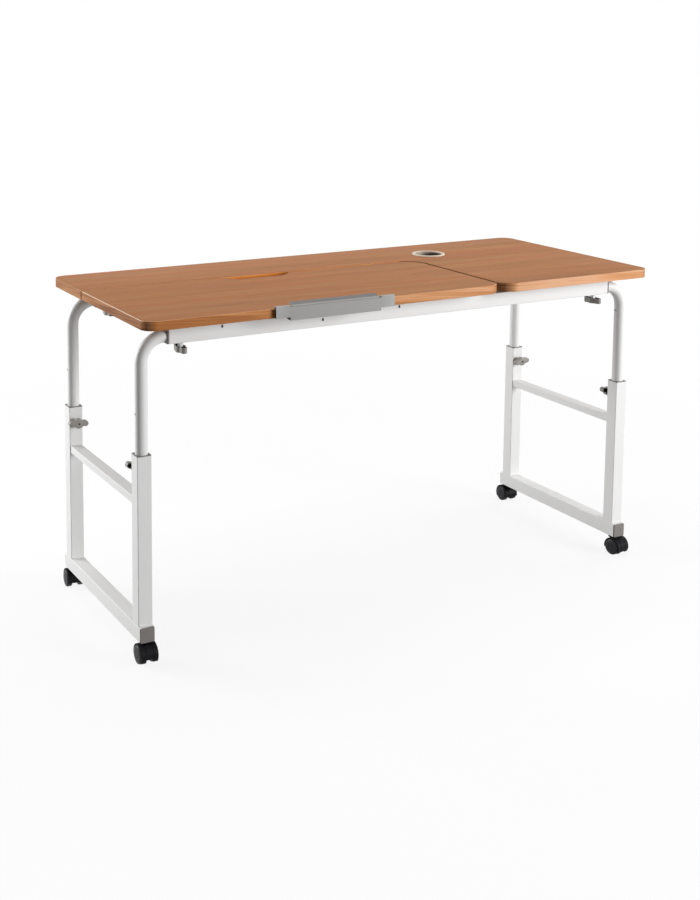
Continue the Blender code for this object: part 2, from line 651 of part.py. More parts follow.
def base_frame(side, right, legs):
    """Two uprights on a bottom rail with a bar between them, on two casters."""
    base = empty(side + "_base", (0, 0, -RAIL_Z), legs)
    upright_z = UPRIGHT_BOTTOM + UPRIGHT_LENGTH / 2
    rail = hollow_bar("bottom_rail_" + side, TUBE, TUBE, TUBE_WALL, 2 * BOTTOM_RAIL_END, base,
                      (0, 0, BOTTOM_RAIL_Z), (-QUARTER, 0, 0))
    bar_length = LEG_SPREAD - TUBE - 2 * SEAT_GAP
    hollow_bar("mid_bar_" + side, MID_BAR_WIDTH, MID_BAR_HEIGHT, MID_BAR_WALL, bar_length, base,
               (0, 0, MID_BAR_Z), (-QUARTER, 0, 0))
    for row, back in ROWS:
        place = row + "_" + side
        inward = 0 if back > 0 else math.pi
        upright = hollow_bar("upright_" + place, TUBE, TUBE, TUBE_WALL, UPRIGHT_LENGTH, base,
                             (0, back * LEG_Y, upright_z), (0, 0, inward))
        hole = screw_hole("height_hole_" + place)
        hole.transform(Matrix.Translation((0, 0, HEIGHT_KNOB_Z - upright_z)))
        combine(upright, "DIFFERENCE", hole)
        bush("upright_bush_" + place, base, (0, back * LEG_Y, UPRIGHT_TOP), (0, 0, 0),
             UPRIGHT_BUSH_FLANGE)
        plug("rail_cap_" + place, base, (0, back * BOTTOM_RAIL_END, BOTTOM_RAIL_Z),
             (-back * QUARTER, 0, 0), CAP_FLANGE, CAP_INSERT, CAP_FINISH[row])
        tip = back * (LEG_Y - LEG_DIAMETER / 2 - RUN_GAP)
        knob("height_knob_" + place, base, (0, tip, HEIGHT_KNOB_Z), (back * QUARTER, 0, 0),
             HEIGHT_KNOB_TURN[row])
        stem_hole = rod_mesh("stem_hole_" + place, STEM_RADIUS + RUN_GAP,
                             (0, TUBE_BORE / 4, 0), (0, TUBE, 0))
        stem_hole.transform(Matrix.Translation((0, 0, back * CASTER_Y)))
        combine(rail, "DIFFERENCE", stem_hole)
        caster(place, base, (0, back * CASTER_Y, 0), math.radians(CASTER_TURN[row, side]))


def width_knobs():
    """Clamp screws under the rails that hold the legs at the width set."""
    for row, back in ROWS:
        for side, right in SIDES:
            tip = RAIL_Z - LEG_DIAMETER / 2 - RUN_GAP
            knob("width_knob_" + row + "_" + side, None, (right * WIDTH_KNOB_X, back * LEG_Y, tip),
                 (math.pi, 0, 0), WIDTH_KNOB_TURN[side])


# Casters

def caster(place, parent, location, turn):
    """A hooded twin-wheel caster: the hood turns on its stem, and both wheels turn on its axle."""
    swivel = empty("caster_" + place, location, parent, turn)
    centre = Vector((0, -CASTER_TRAIL, AXLE_HEIGHT))
    web_radius = FENDER_RADIUS - FENDER_WALL / 2
    name = "caster_hood_" + place
    half_web = Vector((CASTER_WEB / 2, 0, 0))
    web = rod_mesh(name, web_radius, centre - half_web, centre + half_web, WEB_SIDES)
    hood = mesh_object(name, web, swivel)
    reach = 2 * WHEEL_RADIUS
    combine(hood, "DIFFERENCE", box_mesh(name + "_floor", (-reach, -2 * reach, -reach),
                                         (reach, reach, WEB_FLOOR_GAP)))
    combine(hood, "UNION", fender_mesh(name + "_fender", centre))
    combine(hood, "UNION", rod_mesh(name + "_boss", BOSS_RADIUS, (0, 0, CASTER_HEIGHT - BOSS_DEPTH),
                                    (0, 0, CASTER_HEIGHT), BOSS_SIDES))
    combine(hood, "UNION", rod_mesh(name + "_stem", STEM_RADIUS, (0, 0, CASTER_HEIGHT - BOSS_DEPTH / 2),
                                    (0, 0, CASTER_HEIGHT + STEM_LENGTH), STEM_SIDES))
    axle = Vector((CASTER_WEB / 2 + AXLE_REACH, 0, 0))
    combine(hood, "UNION", rod_mesh(name + "_axle", AXLE_RADIUS, centre - axle, centre + axle, STEM_SIDES))
    finish(hood, "black_plastic")
    for mark, right in (("a", -1), ("b", 1)):
        wheel = turned(f"caster_wheel_{place}_{mark}", wheel_profile(), WHEEL_SIDES, swivel)
        wheel.location = centre + Vector((right * WHEEL_OFFSET, 0, 0))
        wheel.rotation_mode = "ZYX"
        wheel.rotation_euler = (math.pi / WHEEL_SIDES, right * QUARTER, 0)
        finish(wheel, "black_plastic")


def fender_mesh(name, centre):
    """The curved cover over both treads, as a thick strip about the axle."""
    half = CASTER_WEB / 2 + WHEEL_WIDTH - WHEEL_ROUND
    start = math.radians(FENDER_START)
    strip = turned(name, ((FENDER_RADIUS, half), (FENDER_RADIUS, -half)), FENDER_STEPS)
    strip.modifiers["turn"].angle = math.radians(FENDER_SWEEP)
    wall = strip.modifiers.new("wall", "SOLIDIFY")
    wall.thickness = FENDER_WALL
    wall.offset = -1
    first = Vector((0, -math.cos(start), math.sin(start)))
    across = Vector((-1, 0, 0))
    turn = Matrix((first, across.cross(first), across)).transposed().to_4x4()
    mesh = baked(strip)
    mesh.transform(Matrix.Translation(centre) @ turn)
    return mesh


def wheel_profile():
    """From the outer face, over the tread and back along the blind bore; height is along the axle."""
    bore = AXLE_RADIUS + RUN_GAP
    tread = WHEEL_RADIUS
    return (
        (0, WHEEL_WIDTH),
        (tread - 2 * WHEEL_ROUND, WHEEL_WIDTH),
        (tread - WHEEL_ROUND / 2, WHEEL_WIDTH - WHEEL_ROUND / 2),
        (tread, WHEEL_WIDTH - 2 * WHEEL_ROUND),
        (tread, WHEEL_ROUND),
        (tread - WHEEL_ROUND, 0),
        (bore, 0),
        (bore, AXLE_REACH),
        (0, AXLE_REACH),
    )


fixed_board()
grommet()
rails()
cross_bars()
tilt_pivot = empty("tilt_panel", (0, HINGE_Y, HINGE_Z))
hinges(tilt_pivot)
panel_board(tilt_pivot)
book_stop(tilt_pivot)
width_knobs()
for side_name, side_sign in SIDES:
    leg_pair = empty(side_name + "_legs", (side_sign * LEG_X, 0, RAIL_Z))
    for row_name, row_sign in ROWS:
        leg("leg_" + row_name + "_" + side_name, leg_pair, side_sign, row_sign * LEG_Y)
    base_frame(side_name, side_sign, leg_pair)
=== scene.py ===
"""A rolling desk with a tilting panel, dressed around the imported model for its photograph."""
import math

import bmesh
import bpy
from mathutils import Matrix, Vector


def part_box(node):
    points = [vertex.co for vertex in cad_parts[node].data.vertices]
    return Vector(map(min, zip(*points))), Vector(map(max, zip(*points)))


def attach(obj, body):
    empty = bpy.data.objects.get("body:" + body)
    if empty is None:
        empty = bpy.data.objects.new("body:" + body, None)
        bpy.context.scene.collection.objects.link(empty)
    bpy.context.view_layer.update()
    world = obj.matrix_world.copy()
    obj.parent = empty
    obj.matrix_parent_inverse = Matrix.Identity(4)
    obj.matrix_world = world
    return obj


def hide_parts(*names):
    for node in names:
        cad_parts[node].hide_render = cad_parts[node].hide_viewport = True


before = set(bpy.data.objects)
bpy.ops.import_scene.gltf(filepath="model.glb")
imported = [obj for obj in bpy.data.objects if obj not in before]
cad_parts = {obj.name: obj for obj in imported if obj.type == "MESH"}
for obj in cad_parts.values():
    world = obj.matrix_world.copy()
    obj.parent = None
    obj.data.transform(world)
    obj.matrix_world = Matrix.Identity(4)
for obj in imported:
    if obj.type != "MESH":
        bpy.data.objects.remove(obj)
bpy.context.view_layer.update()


# The studio. The camera stands before the desk's left end, above the height of its top, and four
# soft boxes stand round it. The floor keeps the desk's shadow over the white room and is clear
# apart from it, so that a base let down below its first height shows.
scene = bpy.context.scene
scene.view_settings.view_transform = "Standard"

lens = bpy.data.cameras.new("photo_view")
lens.sensor_fit = "HORIZONTAL"
lens.sensor_width = 36
lens.lens = 68.825
lens.shift_x = 0.15
lens.shift_y = -0.37
camera = bpy.data.objects.new("photo_view", lens)
scene.collection.objects.link(camera)
scene.camera = camera
camera_place = Matrix.Translation((-1.51769, -2.40847, 1.18676))
camera_yaw = Matrix.Rotation(math.radians(-27.371), 4, "Z")
camera_pitch = Matrix.Rotation(math.radians(90 - 6.969), 4, "X")
camera_roll = Matrix.Rotation(math.radians(0.137), 4, "Z")
camera.matrix_world = camera_place @ camera_yaw @ camera_pitch @ camera_roll


def soft_box(name, place, target, width, height, power):
    """A rectangular lamp that faces a point and doesn't show itself."""
    lamp = bpy.data.lights.new(name, "AREA")
    lamp.shape = "RECTANGLE"
    lamp.size = width
    lamp.size_y = height
    lamp.energy = power
    holder = bpy.data.objects.new(name, lamp)
    aim = (Vector(target) - Vector(place)).to_track_quat("-Z", "Y")
    holder.matrix_world = Matrix.Translation(place) @ aim.to_matrix().to_4x4()
    holder.visible_camera = False
    scene.collection.objects.link(holder)


soft_box("left_rear_box", (-2.4, 2.0, 1.1), (-0.2, 0.0, 0.4), 1.4, 1.9, 92)
soft_box("right_front_box", (2.8, -3.5, 1.25), (0.1, 0.0, 0.4), 1.8, 2.1, 186)
soft_box("right_high_box", (2.3, 0.5, 2.2), (0.2, 0.1, 0.6), 1.0, 1.0, 20)
soft_box("overhead_box", (0.0, 0.2, 3.0), (0.0, 0.0, 0.6), 2.4, 1.6, 38)


class Socket:
    """A shader socket: sums on it add Math nodes, and node() adds any other node to its tree."""

    def __init__(self, tree, link=None):
        self.tree = tree
        self.link = link

    def node(self, kind, settings, sockets, output=0):
        made = self.tree.nodes.new("ShaderNode" + kind)
        for name, value in settings.items():
            if name == "stops":
                ramp = made.color_ramp.elements
                ramp.remove(ramp[1])
                ramp[0].position = value[0][0]
                ramp[0].color = (*value[0][1], 1)
                for place, colour in value[1:]:
                    ramp.new(place).color = (*colour, 1)
            else:
                setattr(made, name, value)
        for name, value in sockets.items():
            target = made.inputs[name]
            if isinstance(value, Socket):
                self.tree.links.new(value.link, target)
            elif target.type == "RGBA":
                target.default_value = (*value, 1)
            else:
                target.default_value = value
        return Socket(self.tree, made.outputs[output])

    def maths(self, operation, first, second):
        return self.node("Math", {"operation": operation}, {0: first, 1: second})

    def __add__(self, other):
        return self.maths("ADD", self, other)

    def __radd__(self, other):
        return self.maths("ADD", other, self)

    def __sub__(self, other):
        return self.maths("SUBTRACT", self, other)

    def __rsub__(self, other):
        return self.maths("SUBTRACT", other, self)

    def __mul__(self, other):
        return self.maths("MULTIPLY", self, other)

    def __rmul__(self, other):
        return self.maths("MULTIPLY", other, self)


def between(share, low, high):
    """A colour between two others."""
    return share.node("Mix", {"data_type": "RGBA"}, {0: share, 6: low, 7: high}, 2)


def shown_rays(tree):
    """1 for the rays that show a backdrop: from the camera, in a gloss or through glass."""
    start = Socket(tree)
    rays = ("Is Camera Ray", "Is Glossy Ray", "Is Transmission Ray")
    camera_ray, glossy, through = (start.node("LightPath", {}, {}, ray) for ray in rays)
    return camera_ray.maths("MINIMUM", camera_ray + glossy + through, 1.0)


room_light = 0.13
room = bpy.data.worlds.new("studio_room")
room.use_nodes = True
scene.world = room
air = room.node_tree.nodes["Background"]
air.inputs["Color"].default_value = (1, 1, 1, 1)
room_strength = shown_rays(room.node_tree) * (1 - room_light) + room_light
room.node_tree.links.new(room_strength.link, air.inputs["Strength"])

floor_reach = 14.0
floor_bounce = (0.32, 0.32, 0.32)
floor_seen = (0.85, 0.85, 0.85)
shadow_share = 0.13
shadow_near = 0.7
shadow_far = 2.2
floor_bm = bmesh.new()
bmesh.ops.create_grid(floor_bm, x_segments=1, y_segments=1, size=floor_reach)
floor_mesh = bpy.data.meshes.new("studio_floor")
floor_bm.to_mesh(floor_mesh)
floor_bm.free()
floor = bpy.data.objects.new("studio_floor", floor_mesh)
scene.collection.objects.link(floor)
floor_paint = bpy.data.materials.new("studio_floor")
floor_paint.use_nodes = True
floor_tree = floor_paint.node_tree
floor_tree.nodes.remove(floor_tree.nodes["Principled BSDF"])
shown = shown_rays(floor_tree)
floor_place = shown.node("TexCoord", {}, {}, "Object")
floor_distance = shown.node("VectorMath", {"operation": "LENGTH"}, {0: floor_place}, "Value")
shadow = shown.node("MapRange", {"interpolation_type": "SMOOTHSTEP"},
                    {"Value": floor_distance, 1: shadow_near, 2: shadow_far, 3: shadow_share, 4: 0.0})
matt = shown.node("BsdfDiffuse", {}, {"Color": between(shown, floor_bounce, floor_seen)})
clear = shown.node("BsdfTransparent", {}, {"Color": (1, 1, 1)})
lamp_ray = shown.node("LightPath", {}, {}, "Is Shadow Ray")
from_below = shown.node("NewGeometry", {}, {}, "Backfacing")
clear_share = shown * (1 - shadow) + lamp_ray * from_below
floor_mix = shown.node("MixShader", {}, {0: clear_share, 1: matt, 2: clear})
floor_tree.links.new(floor_mix.link, floor_tree.nodes["Material Output"].inputs["Surface"])
floor_mesh.materials.append(floor_paint)


# The two boards of the top. They are chipboard faced with a beech-pattern paper, with the grain
# along the desk. A plastic band of the same pattern is glued round their edges and rounded over,
# and its arris at the ends and the back is painted paler, a painted highlight.
def finish(name, surface, fixed):
    """A material: surface(place) gives the sockets that vary, and fixed the ones that don't."""
    material = bpy.data.materials.new(name)
    material.use_nodes = True
    shader = material.node_tree.nodes["Principled BSDF"]
    for socket, value in fixed.items():
        shader.inputs[socket].default_value = value
    place = Socket(material.node_tree).node("TexCoord", {}, {}, "Object")
    for socket, value in surface(place).items():
        material.node_tree.links.new(value.link, shader.inputs[socket])
    return material


def spots(place, density, detail=2.0, roughness=0.5):
    """Noise about 0.5, with so many spots to a metre along x, y and z."""
    scaled = place.node("Mapping", {}, {"Vector": place, "Scale": density})
    return place.node("TexNoise", {}, {"Vector": scaled, "Scale": 1.0, "Detail": detail,
                                       "Roughness": roughness})


def span(value, low, high, to_low=0.0, to_high=1.0):
    """A value from one range taken to another and held at its ends."""
    return value.node("MapRange", {}, {"Value": value, 1: low, 2: high, 3: to_low, 4: to_high})


def relief(height, depth):
    """A surface normal from a height of 0 to 1 and its depth in metres."""
    return height.node("Bump", {}, {"Height": height, "Distance": depth, "Strength": 1.0})


def beech_paper(place):
    figure = spots(place, (1.7, 26, 26), 2, 0.5)
    streak = spots(place, (3.6, 78, 78), 3, 0.6)
    fibre = spots(place, (11, 330, 330), 2)
    pore = spots(place, (70, 1500, 1500), 1)
    warmth = span(spots(place, (1.8, 34, 34), 2), 0.32, 0.68)
    share = 0.5 + (figure - 0.5) * 0.7 + (streak - 0.5) * 0.75 + (fibre - 0.5) * 0.6
    yellow = ((0.12, (0.229, 0.096, 0.029)), (0.42, (0.309, 0.138, 0.049)),
              (0.60, (0.340, 0.156, 0.058)), (0.90, (0.412, 0.209, 0.090)))
    red = ((0.12, (0.248, 0.079, 0.025)), (0.42, (0.328, 0.120, 0.042)),
           (0.60, (0.360, 0.135, 0.049)), (0.90, (0.437, 0.183, 0.074)))
    yellow_brown = place.node("ValToRGB", {"stops": yellow}, {"Fac": share})
    red_brown = place.node("ValToRGB", {"stops": red}, {"Fac": share})
    dash = span(pore, 0.58, 0.72, 0.0, 0.45)
    return {
        "Base Color": between(dash, between(warmth, yellow_brown, red_brown), (0.20, 0.078, 0.033)),
        "Roughness": 0.50 + (streak - 0.5) * 0.2 + dash * 0.2,
        "Normal": relief(1 - dash * 0.7 + fibre * 0.3, 0.00004),
    }


def run_along(place):
    """A place on the edge band: x is the way round the board, z the height."""
    x, y, z = (place.node("SeparateXYZ", {}, {0: place}, axis) for axis in "XYZ")
    return place.node("CombineXYZ", {}, {"X": x + y, "Z": z})


def band_grain(place):
    """Long lines that lean a little, as of a flat-sawn edge, from 0 to 1."""
    run = run_along(place)
    sway = spots(run, (4, 1, 20), 2)
    x = place.node("SeparateXYZ", {}, {0: run}, "X")
    z = place.node("SeparateXYZ", {}, {0: run}, "Z")
    leaning = place.node("CombineXYZ", {}, {"X": x, "Z": z + x * 0.055 + sway * 0.012})
    line = spots(leaning, (5, 1, 210), 2, 0.6)
    broad = spots(leaning, (2.5, 1, 90), 2)
    return 0.5 + (line - 0.5) * 2.3 + (broad - 0.5) * 0.9


def end_shade(grain):
    """The colour of the band at the ends of the desk and round its corners."""
    stops = ((0.15, (0.23, 0.090, 0.034)), (0.45, (0.335, 0.146, 0.060)),
             (0.85, (0.45, 0.220, 0.100)))
    return grain.node("ValToRGB", {"stops": stops}, {"Fac": grain})


def end_band(place):
    grain = band_grain(place)
    return {
        "Base Color": end_shade(grain),
        "Roughness": 0.36 + grain * 0.12,
        "Normal": relief(grain, 0.00002),
    }


def front_band(place):
    """The band along the front, with painted light that takes it from dark orange at the left to
    paler at the right, and painted shade that turns it to the end band's colour where it rounds a
    corner to the side.
    """
    grain = band_grain(place)
    x = place.node("SeparateXYZ", {}, {0: place}, "X")
    # grain, with painted light that grows from left to right
    grain_and_painted_light = span(x, -0.56, 0.30, 0.04, 0.96) + (grain - 0.5) * 0.95
    stops = ((0.0, (0.38, 0.127, 0.021)), (0.5, (0.54, 0.208, 0.048)), (0.8, (0.635, 0.284, 0.106)),
             (1.0, (0.69, 0.355, 0.178)))
    # painted shade on the rounded corners that face sideways
    facing = place.node("TexCoord", {}, {}, "Normal")
    sideways = place.node("SeparateXYZ", {}, {0: facing}, "X")
    painted_corner_shade = span(sideways.maths("ABSOLUTE", sideways, 0.0), 0.08, 0.75)
    front_shade = place.node("ValToRGB", {"stops": stops}, {"Fac": grain_and_painted_light})
    return {
        "Base Color": between(painted_corner_shade, front_shade, end_shade(grain)),
        "Roughness": 0.38 + grain * 0.08,
        "Normal": relief(grain, 0.00002),
    }


def seam_band(place):
    """The band behind the panel, seen in the gap, with its colour painted to make up for the shade
    there: bright orange in the notch and right of it, lighter towards the top, and paler left of it.
    """
    grain = band_grain(place)
    x, height = (place.node("SeparateXYZ", {}, {0: place}, axis) for axis in "XZ")
    # painted light: the edge is made lighter towards the top of the gap
    painted_light = grain * 0.5 + span(height, top_high.z - 0.009, top_high.z - 0.001, -0.15, 0.55)
    stops = ((0.0, (0.64, 0.140, 0.012)), (0.5, (0.92, 0.280, 0.048)), (1.0, (1.0, 0.460, 0.125)))
    orange = place.node("ValToRGB", {"stops": stops}, {"Fac": painted_light})
    near_notch = span(x, notch_left - 0.04, notch_left)
    return {
        "Base Color": between(near_notch, (0.84, 0.44, 0.22), orange),
        "Roughness": 0.36 + grain * 0.12,
    }


def seam_end(place):
    """The band in the gap between the panel and the section at its right, painted dark brown for the
    shade in the gap.
    """
    grain = band_grain(place)
    return {
        "Base Color": between(grain, (0.092, 0.036, 0.014), (0.170, 0.070, 0.028)),
        "Roughness": 0.45 + grain * 0.1,
    }


def band_arris(place):
    # painted highlight: the arris is painted paler than the band, in streaks along it
    painted_sheen = spots(run_along(place), (40, 1, 200), 3)
    return {
        "Base Color": between(painted_sheen, (0.44, 0.22, 0.105), (0.66, 0.42, 0.26)),
        "Roughness": 0.28 + painted_sheen * 0.2,
    }


def balance_paper(place):
    fleck = spots(place, (6, 140, 140), 3)
    return {
        "Base Color": between(fleck, (0.27, 0.14, 0.075), (0.38, 0.20, 0.11)),
        "Roughness": 0.55 + fleck * 0.15,
        "Normal": relief(fleck, 0.00003),
    }


def piece(name, bm, materials, slot, body, *nodes, sharp=35):
    """Make a finished piece from its bmesh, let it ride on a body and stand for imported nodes."""
    flat_ratio, least_fold = 12, 4
    bm.normal_update()
    for edge in bm.edges:
        fold = math.degrees(edge.calc_face_angle(0))
        areas = sorted(face.calc_area() for face in edge.link_faces)
        beside_flat = len(areas) == 2 and areas[1] > flat_ratio * areas[0] and fold > least_fold
        edge.smooth = not (fold > sharp or beside_flat)
    for face in bm.faces:
        face.smooth = True
    mesh = bpy.data.meshes.new(name)
    bm.to_mesh(mesh)
    bm.free()
    for material in materials:
        mesh.materials.append(material)
    made = bpy.data.objects.new(name, mesh)
    scene.collection.objects.link(made)
    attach(made, body)
    if nodes:
        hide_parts(*nodes)


def vertices(result, key="geom"):
    return [part for part in result[key] if isinstance(part, bmesh.types.BMVert)]


def edges(result, key="geom"):
    return [part for part in result[key] if isinstance(part, bmesh.types.BMEdge)]


def round_edges(bm, width, least_angle, segments=2):
    """Round over every edge whose faces meet at more than an angle."""
    sharp = [edge for edge in bm.edges if edge.calc_face_angle(0) > math.radians(least_angle)]
    bmesh.ops.bevel(bm, geom=sharp, offset=width, offset_type="OFFSET", segments=segments,
                    profile=0.5, affect="EDGES", clamp_overlap=True, material=-1)


def flat_block(corners, low, high, holes=()):
    """A flat block from corner points with their radii, between two heights, with round holes."""
    corner_steps, hole_steps = 14, 40
    bm = bmesh.new()
    ring = [bm.verts.new((x, y, low)) for x, y, radius in corners]
    bm.faces.new(ring)
    for corner, (x, y, radius) in zip(ring, corners):
        if radius:
            bmesh.ops.bevel(bm, geom=[corner], offset=radius, offset_type="OFFSET",
                            segments=corner_steps, profile=0.5, affect="VERTICES", material=-1)
    if holes:
        for x, y, radius in holes:
            bmesh.ops.create_circle(bm, segments=hole_steps, radius=radius,
                                    matrix=Matrix.Translation((x, y, low)))
        bmesh.ops.delete(bm, geom=list(bm.faces), context="FACES_ONLY")
        bmesh.ops.triangle_fill(bm, use_beauty=True, edges=list(bm.edges))
    grown = bmesh.ops.extrude_face_region(bm, geom=list(bm.faces))
    bmesh.ops.translate(bm, vec=(0, 0, high - low), verts=vertices(grown))
    bmesh.ops.recalc_face_normals(bm, faces=list(bm.faces))
    return bm


top_low, top_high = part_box("fixed_board")
panel_low, panel_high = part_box("tilt_panel_board")
notch_left = -0.2800
notch_right = -0.1207
seam_margin = 0.001
seam_reach = 0.06
level_lift = 0.98
arris_lift = 0.2
front_turn = -0.4
straight_turn = -0.97
paper_face, front_face, end_face, under_face, arris_face, seam_face, seam_end_face = range(7)


def sort_board_faces(bm, seam_x, seam_y):
    """Face paper on top, band round the edge, balance paper below, and between them the arris,
    painted paler as a highlight.

    Where a face of the band lies along the seam, left of seam_x and behind seam_y, it takes the
    seam's own band, painted light against the shade in the gap, or painted dark where it turns
    across the gap, and its arris is covered by the face paper. The front arris has the band's own
    colour.
    """
    bm.normal_update()
    for face in bm.faces:
        across, along, lift = face.normal
        x, y, z = face.calc_center_median()
        in_seam = (top_low.x + seam_margin < x < seam_x
                   and seam_y < y < panel_high.y + seam_reach)
        if lift > level_lift or (lift > arris_lift and in_seam):
            face.material_index = paper_face
        elif lift < -level_lift:
            face.material_index = under_face
        elif lift > arris_lift:
            # the arris at the ends and the back takes the paler painted highlight
            face.material_index = front_face if along < front_turn else arris_face
        elif in_seam:
            # in the gap: painted light on the band along it, painted shade where it turns across
            face.material_index = seam_end_face if along > straight_turn else seam_face
        else:
            face.material_index = front_face if abs(along) > abs(across) else end_face


board_finishes = [
    finish("beech_paper", beech_paper, {"Specular IOR Level": 0.05}),
    finish("front_band", front_band, {"Specular IOR Level": 0.3}),
    finish("end_band", end_band, {"Specular IOR Level": 0.03}),
    finish("balance_paper", balance_paper, {"Specular IOR Level": 0.2}),
    finish("band_arris", band_arris, {"Specular IOR Level": 0.4}),
    finish("seam_band", seam_band, {"Specular IOR Level": 0.1}),
    finish("seam_end", seam_end, {"Specular IOR Level": 0.1}),
]
seam = 0.006
long_seam = 0.0045
edge_round = 0.0012
edge_angle = 60
edge_segments = 3
front_radius = 0.026
rear_radius = 0.028
panel_radius = 0.048
panel_front_radius = 0.031
section_radius = 0.036
hole_radius = 0.0339
ring_low, ring_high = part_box("grommet_ring")
ring_centre = (ring_low + ring_high) / 2
fixed_corners = (
    (top_low.x, panel_high.y + long_seam, 0),
    (notch_left, panel_high.y + long_seam, 0),
    (notch_right, panel_high.y + long_seam, 0),
    (panel_high.x + seam, panel_high.y + long_seam, panel_radius + seam),
    (panel_high.x + seam, top_low.y, section_radius),
    (top_high.x, top_low.y, front_radius),
    (top_high.x, top_high.y, rear_radius),
    (top_low.x, top_high.y, rear_radius),
)
ring_hole = (ring_centre.x, ring_centre.y, hole_radius)
fixed = flat_block(fixed_corners, top_low.z, top_high.z, [ring_hole])
round_edges(fixed, edge_round, edge_angle, edge_segments)
sort_board_faces(fixed, panel_high.x + seam + 3 * seam_margin, top_low.y + section_radius)
piece("fixed_board_faced", fixed, board_finishes, "beech_laminate", "table_frame", "fixed_board")

notch_floor = panel_high.y - 0.026
notch_left_run = 0.012
notch_right_run = 0.034
notch_lip = 0.0045
notch_corner = 0.014
facing_section = 0.7
panel_corners = (
    (panel_low.x, panel_low.y, front_radius),
    (panel_high.x, panel_low.y, panel_front_radius),
    (panel_high.x, panel_high.y, panel_radius),
    (notch_right - notch_lip, panel_high.y, notch_lip),
    (notch_right - notch_right_run, notch_floor, notch_corner),
    (notch_left + notch_left_run, notch_floor, notch_corner),
    (notch_left + notch_lip, panel_high.y, notch_lip),
    (panel_low.x, panel_high.y, 0),
)
panel = flat_block(panel_corners, panel_low.z, panel_high.z)
round_edges(panel, edge_round, edge_angle, edge_segments)
sort_board_faces(panel, panel_high.x + seam_margin, panel_high.y - panel_radius - seam_margin)
# The panel's right end, facing the section across the gap, is painted dark for the shade there.
for face in panel.faces:
    if face.material_index <= end_face and face.normal.x > facing_section:
        face.material_index = seam_end_face
piece("tilt_panel_faced", panel, board_finishes, "beech_laminate", "tilt_panel", "tilt_panel_board")


# The cable grommet: a ring of ivory plastic pressed into a round hole. Its flange lies on the
# board, its lip is rounded over and its sleeve lines the hole.
def turned(profile, steps, place):
    """A closed profile of (radius, height) points spun round its own Z, then put in its place."""
    bm = bmesh.new()
    ring = [bm.verts.new((radius, 0, height)) for radius, height in profile]
    for first, second in zip(ring, ring[1:]):
        bm.edges.new((first, second))
    bmesh.ops.spin(bm, geom=list(bm.verts) + list(bm.edges), cent=(0, 0, 0), axis=(0, 0, 1),
                   angle=math.tau, steps=steps, use_merge=True, use_duplicate=False)
    bmesh.ops.remove_doubles(bm, verts=list(bm.verts), dist=0.000002)
    bmesh.ops.recalc_face_normals(bm, faces=list(bm.faces))
    bmesh.ops.transform(bm, matrix=place, verts=list(bm.verts))
    return bm


def ivory_plastic(place):
    cloud = spots(place, (40, 40, 40), 3)
    grain = spots(place, (1400, 1400, 1400), 1)
    return {
        "Base Color": between(cloud, (0.52, 0.43, 0.335), (0.62, 0.52, 0.41)),
        "Roughness": 0.30 + cloud * 0.12,
        "Normal": relief(grain, 0.00001),
    }


def sleeve_plastic(place):
    """Ivory at the rim, with painted shade that turns it brown further down, and sooner so at the
    right.
    """
    cloud = spots(place, (60, 60, 60), 3)
    x, z = (place.node("SeparateXYZ", {}, {0: place}, axis) for axis in "XZ")
    depth = top_high.z - z + (x - ring_centre.x) * 0.35
    # painted shade: the sleeve darkens with depth in the hole, and sooner on its right side
    painted_shade = span(depth, 0.0035, 0.012)
    return {
        "Base Color": between(painted_shade, (0.56, 0.47, 0.37), (0.072, 0.048, 0.032)),
        "Roughness": 0.45 + cloud * 0.15,
    }


bore = 0.0318
sleeve = 0.0336
sleeve_end = -0.018
sleeve_start = -0.001
ring_steps = 72
ring_profile = (
    (bore, sleeve_end), (bore, -0.0004), (bore, 0.0014), (bore + 0.0002, 0.0022),
    (bore + 0.0008, 0.0028), (bore + 0.0016, 0.0030), (0.0358, 0.0030), (0.0370, 0.0027),
    (0.0379, 0.0020), (0.0384, 0.0011), (0.0385, 0.0003), (sleeve, 0.0003), (sleeve, sleeve_end),
    (bore, sleeve_end),
)
ring_place = Matrix.Translation((ring_centre.x, ring_centre.y, top_high.z))
ring = turned(ring_profile, ring_steps, ring_place)
# The sleeve below the board takes the finish with the painted shade.
for face in ring.faces:
    below = face.calc_center_median().z - top_high.z < sleeve_start
    face.material_index = 1 if below else 0
ivory = finish("ivory_plastic", ivory_plastic, {"Specular IOR Level": 0.25})
shaded = finish("sleeve_plastic", sleeve_plastic, {"Specular IOR Level": 0.1})
piece("grommet_ring_moulded", ring, [ivory, shaded], "ivory_plastic", "table_frame", "grommet_ring")


# The table frame: two square steel tubes along the desk and three flat ones across them, welded
# and powder coated white. The flat tubes carry the boards.
def powder_coat(place):
    cloud = spots(place, (6, 6, 6), 2)
    peel = spots(place, (650, 650, 650), 2)
    return {
        "Base Color": between(cloud, (0.775, 0.775, 0.77), (0.825, 0.825, 0.82)),
        "Roughness": 0.36 + cloud * 0.14,
        "Normal": relief(peel, 0.000012),
    }


